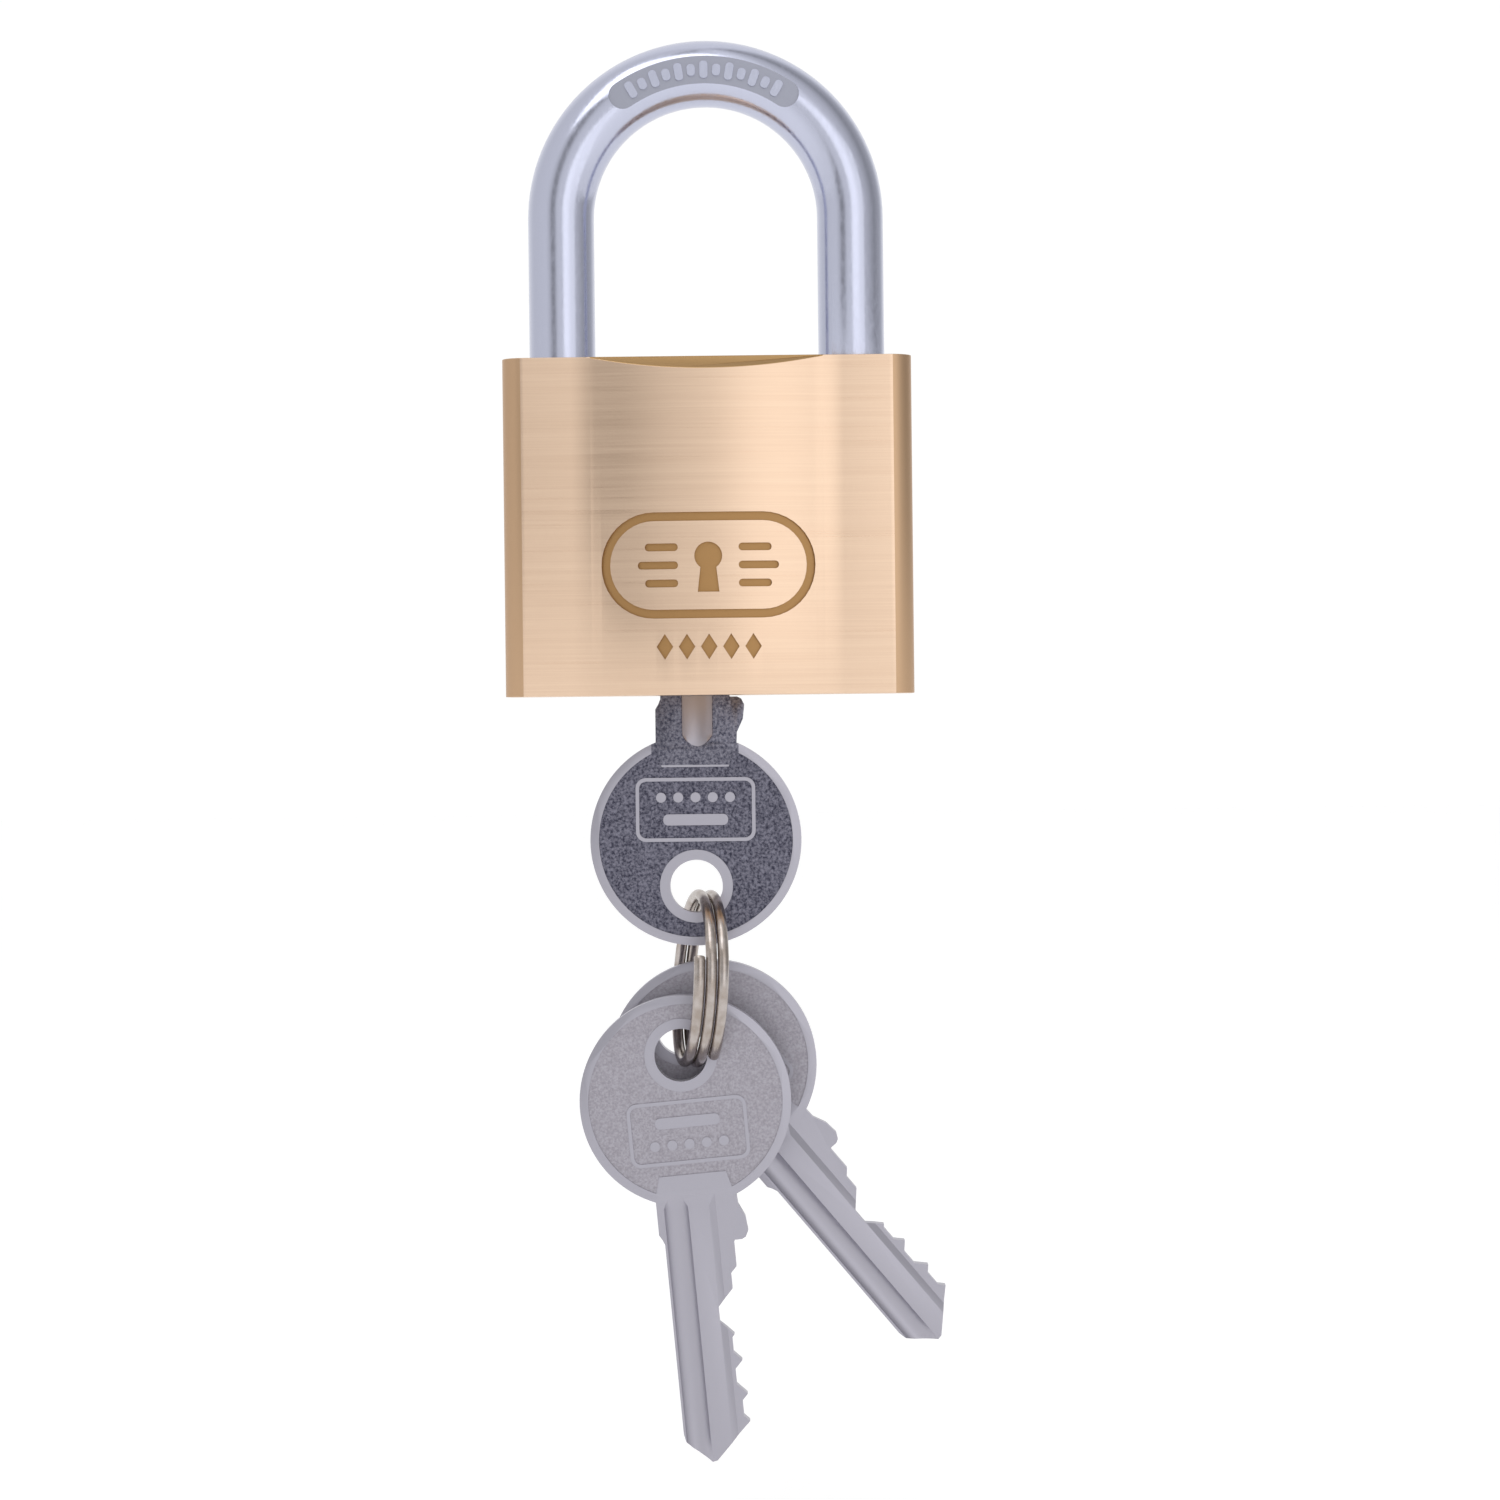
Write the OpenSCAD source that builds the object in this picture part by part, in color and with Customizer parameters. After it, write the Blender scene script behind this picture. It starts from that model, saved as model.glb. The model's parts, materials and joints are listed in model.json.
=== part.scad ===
// Solid-brass key-operated padlock with a round shackle, a working cylinder,
// a split ring and two spare keys.  All sizes in millimetres.
// +X is to the right and -Y is the front as the lock is looked at, +Z is up.
// The origin is the inside of the shackle's crown, where the lock hangs.

/* [Node] */
// which piece to draw

/* [Case] */
// overall width of the case
body_width = 40; // [30:0.5:60]
// height of the case
body_height = 33; // [26:0.5:50]
// thickness of the case at its flat side wings
wing_thickness = 11.4; // [10:0.1:18]
// thickness of the case over the middle of the bulge
crown_thickness = 14.8; // [12:0.1:24]
// width of the bulge that houses the cylinder
bulge_width = 26.6; // [20:0.1:34]
// radius of the four upright corners
corner_radius = 2.2; // [0.5:0.1:4]
// slope of the bevel that cuts the top of the bulge, in degrees
bevel_angle = 37; // [15:1:55]
// depth of the engraved marks on the front
engrave_depth = 0.25; // [0.1:0.05:0.5]
// width of the engraved frame line
frame_line = 0.85; // [0.4:0.05:1.5]

/* [Shackle] */
// diameter of the shackle rod
wire_diameter = 6.5; // [4:0.1:8]
// distance from a leg's middle to the side of the case
leg_inset = 5.75; // [4.5:0.05:8]
// height of the shackle's arc centre above the top of the case
arc_height = 14; // [4:0.5:60]
// length of the toe leg inside the case
toe_depth = 8.5; // [6:0.1:12]
// radial clearance of the legs in their bores
leg_clearance = 0.1; // [0.05:0.01:0.3]

/* [Cylinder] */
// diameter of the plug
plug_diameter = 12; // [9.5:0.1:15]
// radial clearance of the plug in the case
plug_clearance = 0.05; // [0.02:0.01:0.1]
// how far the keyway sits left of the plug's axis
keyway_offset = 1.6; // [0.5:0.1:2.5]
// depth of the five cuts, measured from the key's middle line to each flat
cuts = [2.8, 1.25, 2.3, 2.3, 2.7];

/* [Keys] */
// thickness of a key blank
key_thickness = 2.1; // [1.6:0.1:3]
// diameter of the round key bow
bow_diameter = 20.8; // [16:0.1:28]
// diameter of the hole in the bow
bow_hole = 5.2; // [4:0.1:7]
// distance from the bow's middle to its hole
hole_offset = 4.55; // [3:0.05:7]
// distance from the bow's middle to the key's shoulder
shoulder_reach = 14.1; // [11:0.1:20]
// depth of the recessed field on each side of the bow
field_depth = 0.15; // [0.05:0.05:0.4]

/* [Split ring] */
// outer diameter of the ring
ring_diameter = 17.6; // [14:0.1:26]
// diameter of the ring's wire
ring_wire = 1.1; // [0.8:0.05:1.6]
// sideways step of the wire in one turn
ring_pitch = 1.17; // [0.9:0.01:1.8]
// how far the ring's front is turned to the right, in degrees
ring_yaw = 10; // [-20:1:20]
// how far the ring's top leans to the right, in degrees
ring_roll = 4; // [-10:1:10]
// tilt of the front spare key, tip to the right, in degrees
front_key_tilt = 5; // [-30:1:45]
// tilt of the rear spare key, tip to the right, in degrees
rear_key_tilt = 40; // [0:1:60]

/* [Hidden] */
H = body_height;
hw = body_width / 2;
flat_t = wing_thickness / 2;
crown_t = crown_thickness / 2;
bw = bulge_width / 2;
// the crown arc and the hollow arc at its foot meet on one tangent
alpha = 2 * atan((crown_t - flat_t) / bw);
arc_sum = bw / sin(alpha);
crown_r = 0.7725 * arc_sum;
foot_r = arc_sum - crown_r;

// shackle
wr = wire_diameter / 2;
leg_x = hw - leg_inset;
leg_bore_r = wr + leg_clearance;
arc_z = H + arc_height;
toe_inner = leg_x - wr;
bore_inner = leg_x - leg_bore_r;
toe_tip_z = H - toe_depth;
toe_bore_z = toe_tip_z - 0.5;
lift = toe_depth + 0.5;
hang_z = arc_z + leg_x - wr;

// locking levels, from the top of the case down
bar_z1 = H - 2;
bar_z0 = bar_z1 - 2.6;
cam_z0 = bar_z0 - 2.6;
cam_z1 = bar_z0 - 0.2;
plug_len = cam_z0 - 3.3;

// cylinder
plug_r = plug_diameter / 2;
ks = plug_r / 6;
plug_bore_r = plug_r + plug_clearance;
key_x = -keyway_offset * ks;
pin_pitch = 0.14 * plug_len;
first_pin = 0.171 * plug_len;
chamber_r = 0.476 * pin_pitch;
pin_r = chamber_r - 0.05;
driver_x0 = plug_r + 0.1;
driver_len = 4.5;
chamber_plug_len = 3.5;
chamber_plug_x = hw - chamber_plug_len;
retainer_r = 0.8;
retainer_x = plug_r - 0.05;
retainer_z = plug_len - 2.1;

// locking cam and bolt: the cam pushes the bolt both ways
cam_b = 1.6 * ks;
cam_a = 5.35 * ks;
stroke = cam_a - cam_b;
cam_k = stroke / (PI / 2);
cam_gap = 0.08;
nose_x = toe_inner + 1.1;
notch_x = nose_x + 0.1;
shoulder_x1 = bore_inner - 0.5;
bolt_tail_x = -cam_b - cam_gap - 1.6;
bolt_y = 3;
bolt_z0 = cam_z0 + 0.2;
channel_y = 3.05;
channel_x0 = -(bore_inner - 0.9);
ramp = stroke / lift;

// heel leg
heel_pin_r = 0.9;
heel_pin_x = -(leg_x - wr - 0.05);
heel_pin_z = H - 11;
heel_groove_r = wr - 0.95;
heel_groove_z0 = heel_pin_z - heel_pin_r - lift - 0.3;
heel_groove_z1 = heel_pin_z + heel_pin_r + 0.3;
heel_z = heel_groove_z0 - 1.8;
heel_bore_z = 3;

// keys
kt = key_thickness;
bow_r = bow_diameter / 2;
bow_z = -(shoulder_reach + 0.15);
blade_lo = -3.37 * ks;
blade_hi = 3.4 * ks;
tip_t = plug_len - 1.15 - bow_z;
fl = 0.5 * kt;
lock_hole = [key_x, 0, bow_z - hole_offset];

// split ring: hangs in the lock key's hole
ring_r = (ring_diameter - ring_wire) / 2;
ring_c = [key_x, 0, bow_z - hole_offset - 0.9 - ring_r];
front_y = -1.2;
rear_y = 5.6;
front_hole = [key_x - 1.7, front_y, ring_c[2] - ring_r + 0.85];
rear_hole = [key_x - 1.6, rear_y, ring_c[2] - 5.4 * ring_r / 8.25];

$fn = 64;

// ---- shared shapes -------------------------------------------------------

// puts a shape built above the case's bottom edge into the shared frame
module hung() { translate([0, 0, -hang_z]) children(); }

// rounded rectangle as a list of points
function rounded(w, h, r, n = 6) = [for (c = [[1, 1, 0], [-1, 1, 90], [-1, -1, 180], [1, -1, 270]])
    for (i = [0 : n]) [c[0] * (w / 2 - r) + r * cos(c[2] + 90 * i / n),
                       c[1] * (h / 2 - r) + r * sin(c[2] + 90 * i / n)]];

// right rear quarter of the case's outline, moved inwards by g
function quarter(g) = concat(
  [for (i = [0 : 6]) let (a = 90 * i / 6, r = corner_radius - g)
    [hw - corner_radius + r * cos(a), flat_t - corner_radius + r * sin(a)]],
  [for (i = [0 : 4]) let (a = alpha * i / 5, r = foot_r + g)
    [bw - r * sin(a), flat_t + foot_r - r * cos(a)]],
  [for (i = [12 : -1 : 0]) let (a = alpha * i / 12, r = crown_r - g)
    [r * sin(a), crown_t - crown_r + r * cos(a)]]);

function outline(g) = let (q = quarter(g), n = len(q)) concat(
  [for (p = q) p],
  [for (i = [n - 2 : -1 : 0]) [-q[i][0], q[i][1]]],
  [for (i = [0 : n - 1]) [-q[i][0], -q[i][1]]],
  [for (i = [n - 2 : -1 : 0]) [q[i][0], -q[i][1]]]);

// round wire wound along +Z between flat ends
module coil(mid_r, wire, length, turns, n = 4, steps = 10) {
  pitch = length / turns;
  half = 180 * wire / pitch;
  linear_extrude(height = length, twist = -360 * turns, slices = steps * turns, segments = 0, $fn = 0)
    polygon(concat(
      [for (i = [-n : n]) let (a = half * i / n, w = wire / 2 * sqrt(1 - pow(i / n, 2)) + 0.02)
        (mid_r + w) * [cos(a), sin(a)]],
      [for (i = [n : -1 : -n]) let (a = half * i / n, w = wire / 2 * sqrt(1 - pow(i / n, 2)) + 0.02)
        (mid_r - w) * [cos(a), sin(a)]]));
}

// upright plate: a flat shape in X and Z, thick along Y between y0 and y1
module plate(y0, y1) { translate([0, y1, 0]) rotate([90, 0, 0]) linear_extrude(y1 - y0) children(); }

// bar along +X with its round section at y 0, height z
module xbar(r, x0, x1, z) { translate([x0, 0, z]) rotate([0, 90, 0]) cylinder(r = r, h = x1 - x0); }

// ---- case ----------------------------------------------------------------

// plain emblem: a frame with round ends, a keyhole and three short bars on each side
module emblem() {
  difference() {
    polygon(rounded(20.8, 10.3, 5.1, 8));
    polygon(rounded(20.8 - 2 * frame_line, 10.3 - 2 * frame_line, 5.1 - frame_line, 8));
  }
  translate([0, 0.9]) circle(r = 1.35, $fn = 32);
  polygon([[-0.55, 0.6], [0.55, 0.6], [1.05, -2.6], [-1.05, -2.6]]);
  for (s = [-1, 1], i = [-1 : 1])
    translate([s * (4.9 - 0.35 * abs(i)), 1.75 * i]) polygon(rounded(3.9 - 0.7 * abs(i), 0.75, 0.35, 3));
}

// row of five small lozenges under the emblem
module lozenges() {
  for (i = [-2 : 2]) translate([2.15 * i, 0])
    polygon([[-0.8, 0], [0, -1.25], [0.8, 0], [0, 1.25]]);
}

module body() {
  color([0.79, 0.65, 0.42]) hung() difference() {
    linear_extrude(H) polygon(outline(0));
    // bevels that cut the top of the bulge, front and back
    for (s = [0, 1]) mirror([0, s, 0]) translate([-hw, 0, 0]) rotate([90, 0, 90]) linear_extrude(body_width)
      polygon([[flat_t, H], [crown_t + 1, H - (crown_t + 1 - flat_t) * tan(bevel_angle)],
               [crown_t + 1, H + 1], [flat_t, H + 1]]);
    // engraved marks follow the curved front
    difference() {
      plate(-crown_t - 1, 0) {
        translate([0, 12.6 * H / 33]) emblem();
        translate([0, 4.7 * H / 33]) lozenges();
      }
      translate([0, 0, -1]) linear_extrude(H + 2) polygon(outline(engrave_depth));
    }
    // plug bore and cam room
    translate([0, 0, -1]) cylinder(r = plug_bore_r, h = cam_z1 + 0.1 + 1);
    // toe and heel bores
    translate([leg_x, 0, toe_bore_z]) cylinder(r = leg_bore_r, h = H);
    translate([-leg_x, 0, heel_bore_z]) cylinder(r = leg_bore_r, h = H);
    // bolt channel, open on the right until its plug is pressed in
    translate([channel_x0, -channel_y, cam_z0 - 0.1]) cube([hw + 1 - channel_x0, 2 * channel_y, bar_z1 - cam_z0 + 0.2]);
    // pin chambers
    for (i = [0 : 4]) xbar(chamber_r, 0, hw + 1, first_pin + i * pin_pitch);
    // cross holes for the two retaining pins, drilled from the back
    translate([heel_pin_x, crown_t + 1, heel_pin_z]) rotate([90, 0, 0]) cylinder(r = heel_pin_r + 0.02, h = crown_t + 4);
    translate([retainer_x, crown_t + 1, retainer_z]) rotate([90, 0, 0]) cylinder(r = retainer_r + 0.02, h = crown_t + 4.6);
  }
}

module bolt_channel_plug() {
  color([0.74, 0.6, 0.38]) hung() difference() {
    translate([leg_x, -bolt_y, cam_z0 - 0.05]) cube([hw - 0.02 - leg_x, 2 * bolt_y, bar_z1 - cam_z0 + 0.1]);
    translate([leg_x, 0, cam_z0 - 1]) cylinder(r = leg_bore_r, h = 8);
  }
}

module heel_retaining_pin() {
  color([0.6, 0.6, 0.62]) hung() translate([heel_pin_x, flat_t - 0.05, heel_pin_z]) rotate([90, 0, 0]) cylinder(r = heel_pin_r, h = flat_t + 2.8);
}

module plug_retaining_pin() {
  color([0.6, 0.6, 0.62]) hung() translate([retainer_x, crown_t - 0.7, retainer_z]) rotate([90, 0, 0]) cylinder(r = retainer_r, h = crown_t + 2.8);
}

// ---- shackle -------------------------------------------------------------

module shackle() {
  color([0.83, 0.84, 0.88]) hung() difference() {
    union() {
      translate([0, 0, arc_z]) rotate([90, 0, 0]) rotate_extrude(angle = 180) translate([leg_x, 0]) circle(r = wr);
      translate([-leg_x, 0, heel_z]) cylinder(r = wr, h = arc_z - heel_z);
      translate([leg_x, 0, toe_tip_z + 0.8]) cylinder(r = wr, h = arc_z - toe_tip_z - 0.8);
      translate([leg_x, 0, toe_tip_z]) cylinder(r1 = wr - 0.8, r2 = wr, h = 0.8);
    }
    // notch in the toe, with a ramp below it that the bolt's nose runs down
    plate(-wr - 1, wr + 1) polygon([[toe_inner - 1, bar_z1 + 0.1], [notch_x, bar_z1 + 0.1], [notch_x, bar_z0 - 0.1],
      [toe_inner - 1, bar_z0 - 0.1 - (notch_x - toe_inner + 1) / ramp]]);
    // long groove round the heel for its retaining pin
    translate([-leg_x, 0, heel_groove_z0]) difference() {
      cylinder(r = wr + 1, h = heel_groove_z1 - heel_groove_z0);
      translate([0, 0, -1]) cylinder(r = heel_groove_r, h = heel_groove_z1 - heel_groove_z0 + 2);
    }
    // stamped hollow round the crown, front and back
    for (s = [-1, 1]) translate([0, s * wr, arc_z]) rotate([90, 0, 0]) linear_extrude(0.5, center = true)
      polygon(concat([for (i = [-9 : 9]) (leg_x + 1.3) * [sin(4 * i), cos(4 * i)]],
                     [for (i = [9 : -1 : -9]) (leg_x - 1.3) * [sin(4 * i), cos(4 * i)]]));
  }
}

module shackle_spring() {
  color([0.66, 0.67, 0.7]) hung() translate([-leg_x, 0, heel_bore_z + 0.05])
    coil(wr - 0.8, 0.8, heel_z - heel_bore_z - 0.1, 4);
}

// ---- bolt and cylinder ---------------------------------------------------

module toe_bolt() {
  color([0.6, 0.6, 0.62]) hung() {
    translate([bolt_tail_x, -bolt_y, bar_z0]) cube([nose_x - bolt_tail_x, 2 * bolt_y, bar_z1 - bar_z0]);
    translate([cam_a + cam_gap, -bolt_y, bolt_z0]) cube([shoulder_x1 - cam_a - cam_gap, 2 * bolt_y, bar_z0 - bolt_z0 + 0.01]);
    translate([bolt_tail_x, -bolt_y, bolt_z0]) cube([1.6, 2 * bolt_y, bar_z0 - bolt_z0 + 0.01]);
  }
}

module bolt_spring() {
  length = bolt_tail_x - channel_x0 - 0.1;
  color([0.66, 0.67, 0.7]) hung() translate([channel_x0 + 0.05, 0, (cam_z0 + bar_z1) / 2]) rotate([0, 90, 0])
    coil(1.95, 0.55, length, 5);
}

// blade section without its cuts, grown by g for the keyway
module blade_section(g) {
  difference() {
    translate([blade_lo - g, -kt / 2 - g]) square([blade_hi - blade_lo + 2 * g, kt + 2 * g]);
    // shallow hollow flute near the back edge, face A
    translate([-1.95 * ks, kt / 2 + 0.9]) circle(r = 1.5 - g);
    // sloping step to the cut edge, face A
    polygon([[(1.3 + 0.9 * g) * ks, kt / 2 + 1], [(1.3 + 0.9 * g) * ks, kt / 2 + g + 0.01], [(1.95 + g) * ks, kt / 2 - 0.45 + g],
             [blade_hi + 1, kt / 2 - 0.45 + g], [blade_hi + 1, kt / 2 + 1]]);
    // middle flute, face B
    translate([0.25 * ks, -kt / 2 - 1.7]) circle(r = 2.3 - g);
  }
}

module plug() {
  color([0.82, 0.69, 0.45]) hung() difference() {
    union() {
      cylinder(r = plug_r, h = plug_len);
      translate([-1.2, -plug_r + 1.6, plug_len - 0.01]) cube([2.4, 2 * plug_r - 3.2, 1.41]);
    }
    translate([key_x, 0, -1]) linear_extrude(plug_len - 0.9 + 1) blade_section(0.1);
    for (i = [0 : 4]) xbar(chamber_r, key_x + 0.3, plug_r + 1, first_pin + i * pin_pitch);
    translate([0, 0, retainer_z - 1]) difference() {
      cylinder(r = plug_r + 1, h = 2);
      translate([0, 0, -1]) cylinder(r = plug_r - 1, h = 4);
    }
  }
}

// cam outline: whichever way it is turned, it just fills the bolt's gap
function cam_outline() = concat(
  [for (i = [0 : 15]) let (a = 90 + 6 * i, h = cam_b + cam_k * (180 - a) * PI / 180)
    [h * cos(a) + cam_k * sin(a), h * sin(a) - cam_k * cos(a)]],
  [for (i = [0 : 6]) let (a = 180 + 15 * i) cam_b * [cos(a), sin(a)]],
  [for (i = [0 : 15]) let (a = -90 + 6 * i, h = cam_b + cam_k * (90 + a) * PI / 180)
    [h * cos(a) - cam_k * sin(a), h * sin(a) + cam_k * cos(a)]],
  [for (i = [1 : 7]) let (r = norm([cam_a, cam_k]), a0 = atan2(cam_k, cam_a), a = a0 + (90 - 2 * a0) * i / 8)
    r * [cos(a), sin(a)]]);

module locking_cam() {
  color([0.6, 0.6, 0.62]) hung() difference() {
    union() {
      translate([0, 0, plug_len + 0.02]) cylinder(r = 4.5 * ks, h = cam_z0 - plug_len + 0.03);
      translate([0, 0, cam_z0]) linear_extrude(cam_z1 - cam_z0) polygon(cam_outline());
    }
    // slot that the plug's tenon drives
    translate([-1.22, -plug_r, plug_len - 1]) cube([2.44, 2 * plug_r, 2.42]);
  }
}

// five key pins: each stands in its own cut of the key
module key_pin(i) {
  x0 = key_x + cuts[i] * ks + 0.05;
  color([0.8, 0.67, 0.42]) hung() translate([x0, 0, first_pin + i * pin_pitch]) rotate([0, 90, 0]) {
    cylinder(r1 = 0.25 * pin_r, r2 = pin_r, h = 1);
    translate([0, 0, 1]) cylinder(r = pin_r, h = plug_r - 0.2 - x0 - 1);
  }
}

module driver_pin(i) {
  color([0.62, 0.62, 0.64]) hung() xbar(pin_r, driver_x0, driver_x0 + driver_len, first_pin + i * pin_pitch);
}

module pin_spring(i) {
  x0 = driver_x0 + driver_len + 0.05;
  color([0.66, 0.67, 0.7]) hung() translate([x0, 0, first_pin + i * pin_pitch]) rotate([0, 90, 0])
    coil(chamber_r - 0.35, 0.32, chamber_plug_x - 0.05 - x0, 5, 2, 8);
}

module chamber_plug(i) {
  color([0.74, 0.6, 0.38]) hung() xbar(chamber_r - 0.02, chamber_plug_x, hw - 0.02, first_pin + i * pin_pitch);
}

module key_pin_1() { key_pin(0); }
module key_pin_2() { key_pin(1); }
module key_pin_3() { key_pin(2); }
module key_pin_4() { key_pin(3); }
module key_pin_5() { key_pin(4); }
module driver_pin_1() { driver_pin(0); }
module driver_pin_2() { driver_pin(1); }
module driver_pin_3() { driver_pin(2); }
module driver_pin_4() { driver_pin(3); }
module driver_pin_5() { driver_pin(4); }
module pin_spring_1() { pin_spring(0); }
module pin_spring_2() { pin_spring(1); }
module pin_spring_3() { pin_spring(2); }
module pin_spring_4() { pin_spring(3); }
module pin_spring_5() { pin_spring(4); }
module chamber_plug_1() { chamber_plug(0); }
module chamber_plug_2() { chamber_plug(1); }
module chamber_plug_3() { chamber_plug(2); }
module chamber_plug_4() { chamber_plug(3); }
module chamber_plug_5() { chamber_plug(4); }

// ---- keys ----------------------------------------------------------------

// flats of the cuts and the peaks between them, as points from shoulder to tip
flat_h = 0.24 * pin_pitch;
flank = 0.95;
function cut_t(i) = first_pin + i * pin_pitch - bow_z;
function peak(i) = let (d0 = cuts[i] * ks, d1 = cuts[i + 1] * ks, a = cut_t(i) + flat_h, b = cut_t(i + 1) - flat_h)
  [(d0 + d1) / 2 + flank * (b - a) / 2, (a + b) / 2 + (d1 - d0) / (2 * flank)];
function cut_edge() = [for (i = [0 : 4]) for (p = i < 4
  ? [[cuts[i] * ks, cut_t(i) - flat_h], [cuts[i] * ks, cut_t(i) + flat_h], peak(i)]
  : [[cuts[i] * ks, cut_t(i) - flat_h], [cuts[i] * ks, cut_t(i) + flat_h]]) p];
first_top = cut_t(0) - flat_h - (blade_hi - cuts[0] * ks) / flank;
last_top = cut_t(4) + flat_h + (3.25 - 2.7) * ks / flank;

// flat key outline: blade along +Y of the drawing, cut edge to the right
module key_outline() {
  difference() {
    union() {
      circle(r = bow_r, $fn = 96);
      polygon(concat([[blade_lo - 0.5, 0], [4.1 * ks, 0], [4.15 * ks, shoulder_reach - 3.5], [4.75 * ks, shoulder_reach - 2.2],
        [4.9 * ks, shoulder_reach - 0.8], [4.6 * ks, shoulder_reach - 0.2], [4.2 * ks, shoulder_reach], [3.5 * ks, shoulder_reach],
        [blade_hi, shoulder_reach + 0.2], [blade_hi, first_top]],
        cut_edge(),
        [[3.25 * ks, last_top], [2.4 * ks, last_top + 0.8], [-0.3 * ks, tip_t - 0.1], [-0.8 * ks, tip_t], [-2.6 * ks, tip_t - 1.5],
         [-3.2 * ks, tip_t - 2.2], [blade_lo, tip_t - 3], [blade_lo, shoulder_reach - 0.2], [blade_lo - 0.2, shoulder_reach - 0.7],
         [blade_lo - 0.5, shoulder_reach - 1.2]]));
    }
    translate([0, -hole_offset]) circle(d = bow_hole);
  }
}

// sunk field of the bow: leaves the rim, the hole's collar and the panel's frame standing
module bow_field() {
  difference() {
    circle(r = bow_r - 0.8, $fn = 96);
    translate([0, -hole_offset]) circle(r = bow_hole / 2 + 1);
    translate([0, 3]) difference() { polygon(rounded(11.8, 6.3, 1, 4)); polygon(rounded(10.9, 5.4, 0.6, 4)); }
    translate([0, 3]) polygon(rounded(6.4, 1.3, 0.6, 4));
    translate([-6, 7.6]) square([12, 5]);
  }
}

// one key, bow centre at the origin, blade along +Z, face A towards +Y
module key() {
  difference() {
    plate(-fl, fl) key_outline();
    plate(fl - field_depth, fl + 1) bow_field();
    plate(-fl - 1, -fl + field_depth) bow_field();
    // the blade's flutes and step start below the bow and run out of its tip
    translate([0, 0, 9]) linear_extrude(tip_t) difference() {
      translate([-8, -kt / 2 - 1]) square([16, kt + 2]);
      blade_section(0);
      translate([-8, -kt / 2]) square([8 + blade_lo, kt]);
      translate([-8, -kt / 2 - 1]) square([8 + blade_lo + 0.1, kt + 2]);
      translate([blade_hi, -kt / 2]) square([8, kt - 0.45]);
    }
  }
}

module lock_key() {
  color([0.7, 0.7, 0.74]) hung() translate([key_x, 0, bow_z]) key();
}

// a spare hangs by its hole: tip down, face A to the front, tilted about Y
module spare(hole, tilt) {
  translate(hole) rotate([0, -tilt, 0]) rotate([180, 0, 0]) translate([0, 0, hole_offset]) key();
}

module front_key() { color([0.75, 0.74, 0.8]) hung() spare(front_hole, front_key_tilt); }
module rear_key() { color([0.75, 0.74, 0.8]) hung() spare(rear_hole, rear_key_tilt); }

// ---- split ring ----------------------------------------------------------

// just over two turns of wire, wound sideways; it starts in front, above the middle
s0 = -18;
s1 = 782;
rn = 100;
rm = 10;
function ring_at(s, a) = [ring_pitch * (s / 360 - 1) + ring_wire / 2 * sin(a),
  -(ring_r + ring_wire / 2 * cos(a)) * cos(s), -(ring_r + ring_wire / 2 * cos(a)) * sin(s)];
module split_ring() {
  color([0.66, 0.62, 0.6]) hung() translate(ring_c) rotate([0, ring_roll, ring_yaw])
    polyhedron(points = [for (i = [0 : rn]) for (j = [0 : rm - 1]) ring_at(s0 + (s1 - s0) * i / rn, 360 * j / rm)],
      faces = concat([[for (j = [0 : rm - 1]) j]],
        [for (i = [0 : rn - 1]) for (j = [0 : rm - 1]) let (k = (j + 1) % rm) for (f = [[i * rm + j, (i + 1) * rm + k, i * rm + k], [i * rm + j, (i + 1) * rm + j, (i + 1) * rm + k]]) f],
        [[for (j = [rm - 1 : -1 : 0]) rn * rm + j]]));
}

// ---- pieces --------------------------------------------------------------
body();
bolt_channel_plug();
heel_retaining_pin();
plug_retaining_pin();
shackle();
shackle_spring();
toe_bolt();
bolt_spring();
plug();
locking_cam();
key_pin_1();
key_pin_2();
key_pin_3();
key_pin_4();
key_pin_5();
driver_pin_1();
driver_pin_2();
driver_pin_3();
driver_pin_4();
driver_pin_5();
pin_spring_1();
pin_spring_2();
pin_spring_3();
pin_spring_4();
pin_spring_5();
chamber_plug_1();
chamber_plug_2();
chamber_plug_3();
chamber_plug_4();
chamber_plug_5();
lock_key();
split_ring();
front_key();
rear_key();
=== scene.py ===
import json
import math

import bpy
from mathutils import Matrix, Vector


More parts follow.
